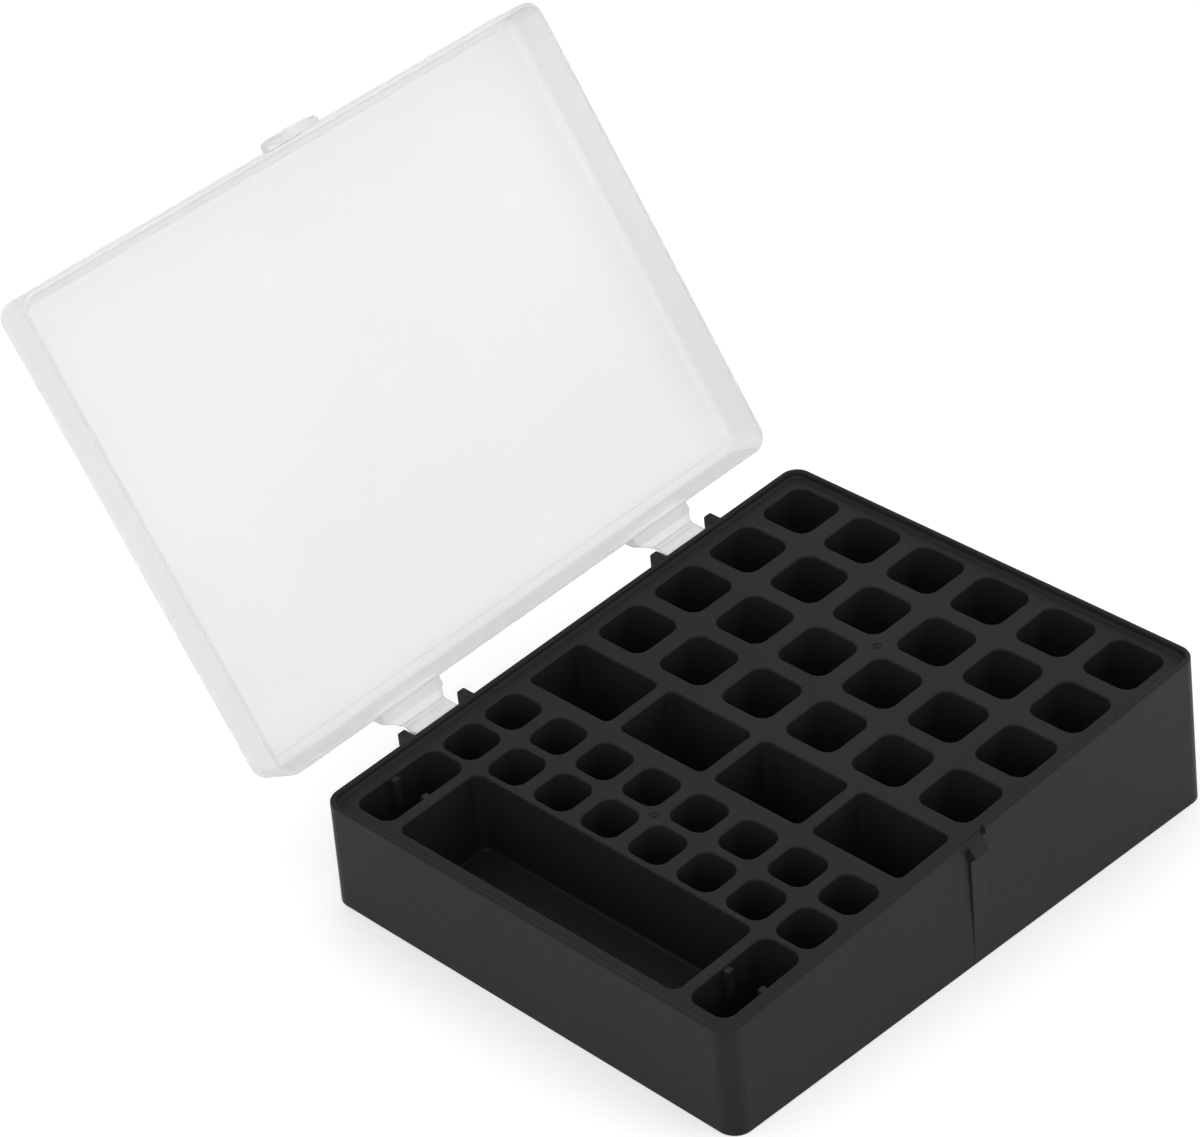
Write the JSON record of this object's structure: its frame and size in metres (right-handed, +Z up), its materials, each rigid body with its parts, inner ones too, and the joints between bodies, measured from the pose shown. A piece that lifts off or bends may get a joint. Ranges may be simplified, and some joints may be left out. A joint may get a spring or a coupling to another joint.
{
  "type": "battery storage case",
  "caption": "Black wedge-shaped battery case with wells for upright cells, a loose tray and a translucent lid standing open on living hinges.",
  "frame": {"origin": "middle of the case's box at the surface it stands on, with the lid open as at rest", "axes": "+Z up, +X towards the deep AA end, +Y towards the hinges and the open lid"},
  "size_m": [0.189, 0.2308, 0.1602],
  "materials": {
    "base_plastic": "fine-grained satin black polypropylene",
    "lid_plastic": "milky translucent natural polypropylene"
  },
  "bodies": {
    "base": {"skirt": "base_plastic", "aa_well_1_1": "base_plastic", "aa_well_1_2": "base_plastic", "aa_well_1_3": "base_plastic", "aa_well_1_4": "base_plastic", "aa_well_1_5": "base_plastic", "aa_well_1_6": "base_plastic", "aa_well_2_1": "base_plastic", "aa_well_2_2": "base_plastic", "aa_well_2_3": "base_plastic", "aa_well_2_4": "base_plastic", "aa_well_2_5": "base_plastic", "aa_well_2_6": "base_plastic", "aa_well_3_1": "base_plastic", "aa_well_3_2": "base_plastic", "aa_well_3_3": "base_plastic", "aa_well_3_4": "base_plastic", "aa_well_3_5": "base_plastic", "aa_well_3_6": "base_plastic", "aa_well_4_1": "base_plastic", "aa_well_4_2": "base_plastic", "aa_well_4_3": "base_plastic", "aa_well_4_4": "base_plastic", "aa_well_4_5": "base_plastic", "aa_well_4_6": "base_plastic", "nine_volt_well_1": "base_plastic", "nine_volt_well_2": "base_plastic", "nine_volt_well_3": "base_plastic", "nine_volt_well_4": "base_plastic", "aaa_well_1_1": "base_plastic", "aaa_well_1_2": "base_plastic", "aaa_well_1_3": "base_plastic", "aaa_well_1_4": "base_plastic", "aaa_well_1_5": "base_plastic", "aaa_well_1_6": "base_plastic", "aaa_well_1_7": "base_plastic", "aaa_well_1_8": "base_plastic", "aaa_well_2_1": "base_plastic", "aaa_well_2_2": "base_plastic", "aaa_well_2_3": "base_plastic", "aaa_well_2_4": "base_plastic", "aaa_well_2_5": "base_plastic", "aaa_well_2_6": "base_plastic", "aaa_well_2_7": "base_plastic", "aaa_well_2_8": "base_plastic", "tray_well": "base_plastic", "slot_well_front": "base_plastic", "slot_well_rear": "base_plastic", "hinge_ear_left_a": "base_plastic", "hinge_ear_left_b": "base_plastic", "hinge_ear_right_a": "base_plastic", "hinge_ear_right_b": "base_plastic", "hinge_leaf_left": "lid_plastic", "hinge_leaf_right": "lid_plastic"},
    "lid": {"lid_shell": "lid_plastic", "hinge_flange_left": "lid_plastic", "hinge_flange_right": "lid_plastic"},
    "latch": {"latch_tongue": "lid_plastic"}
  },
  "joints": [
    {"name": "lid_hinge", "type": "hinge", "parent": "base", "child": "lid", "pos_m": [0.00308, 0.02657, 0.03673], "axis": [-0.9967, 0, -0.0808], "range_deg": [-122.8, 57.2]},
    {"name": "latch_flex", "type": "hinge", "parent": "lid", "child": "latch", "pos_m": [-0.00625, 0.10613, 0.15187], "axis": [-0.9967, 0, -0.0808], "range_deg": [0, 10], "stiffness_Nm_per_rad": 0.3}
  ]
}
